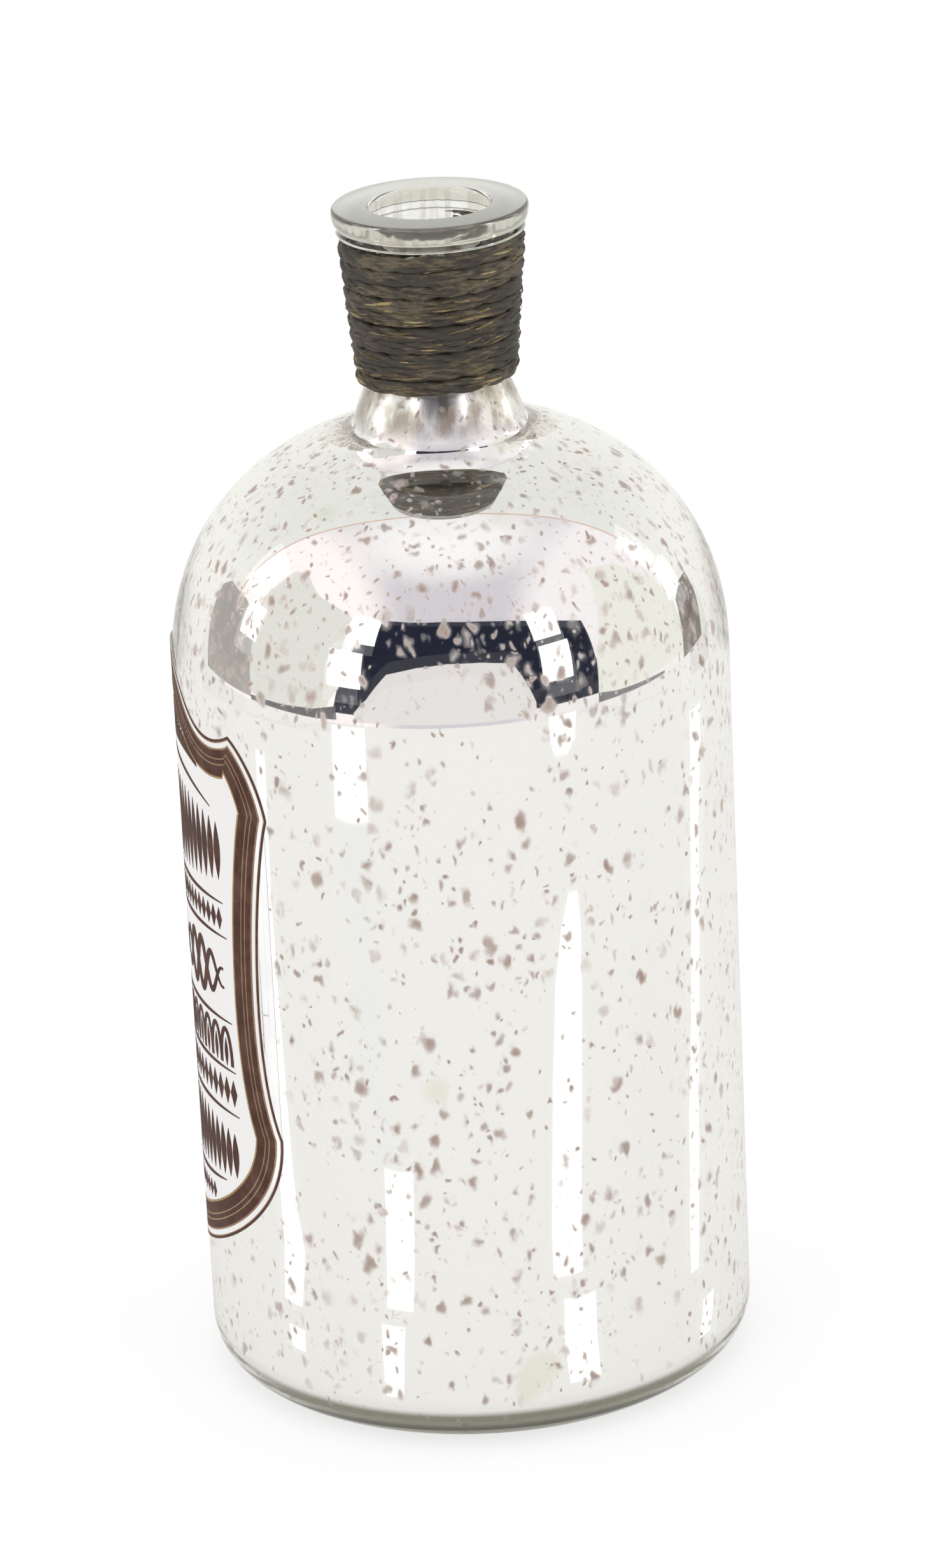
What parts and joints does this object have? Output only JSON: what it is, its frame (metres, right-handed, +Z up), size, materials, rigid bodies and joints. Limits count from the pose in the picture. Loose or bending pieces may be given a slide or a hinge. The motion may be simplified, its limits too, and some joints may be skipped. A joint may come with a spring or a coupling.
{
  "type": "decorative bottle",
  "caption": "Decorative round-shouldered glass bottle with a mottled silver lining, an open mouth, a twine-wrapped neck and an ornamental side label.",
  "frame": {"origin": "centre of the foot ring, on the surface the bottle stands on", "axes": "+Z up along the bottle's axis; the label faces -X, and -Y is the side that the picture looks at"},
  "size_m": [0.1526, 0.152, 0.331],
  "materials": {
    "clear_glass": "clear, faintly green, fire-polished lip",
    "mottled_silver": "aged silver film with dense brown-grey speckles",
    "dark_twine": "dark brown two-ply twine with golden fibres",
    "printed_film": "brown and gold ornamental print on a clear film"
  },
  "bodies": {
    "root": {"glass_bottle": "clear_glass", "silver_lining": "mottled_silver", "neck_twine": "dark_twine", "label_decal": "printed_film"}
  },
  "joints": []
}
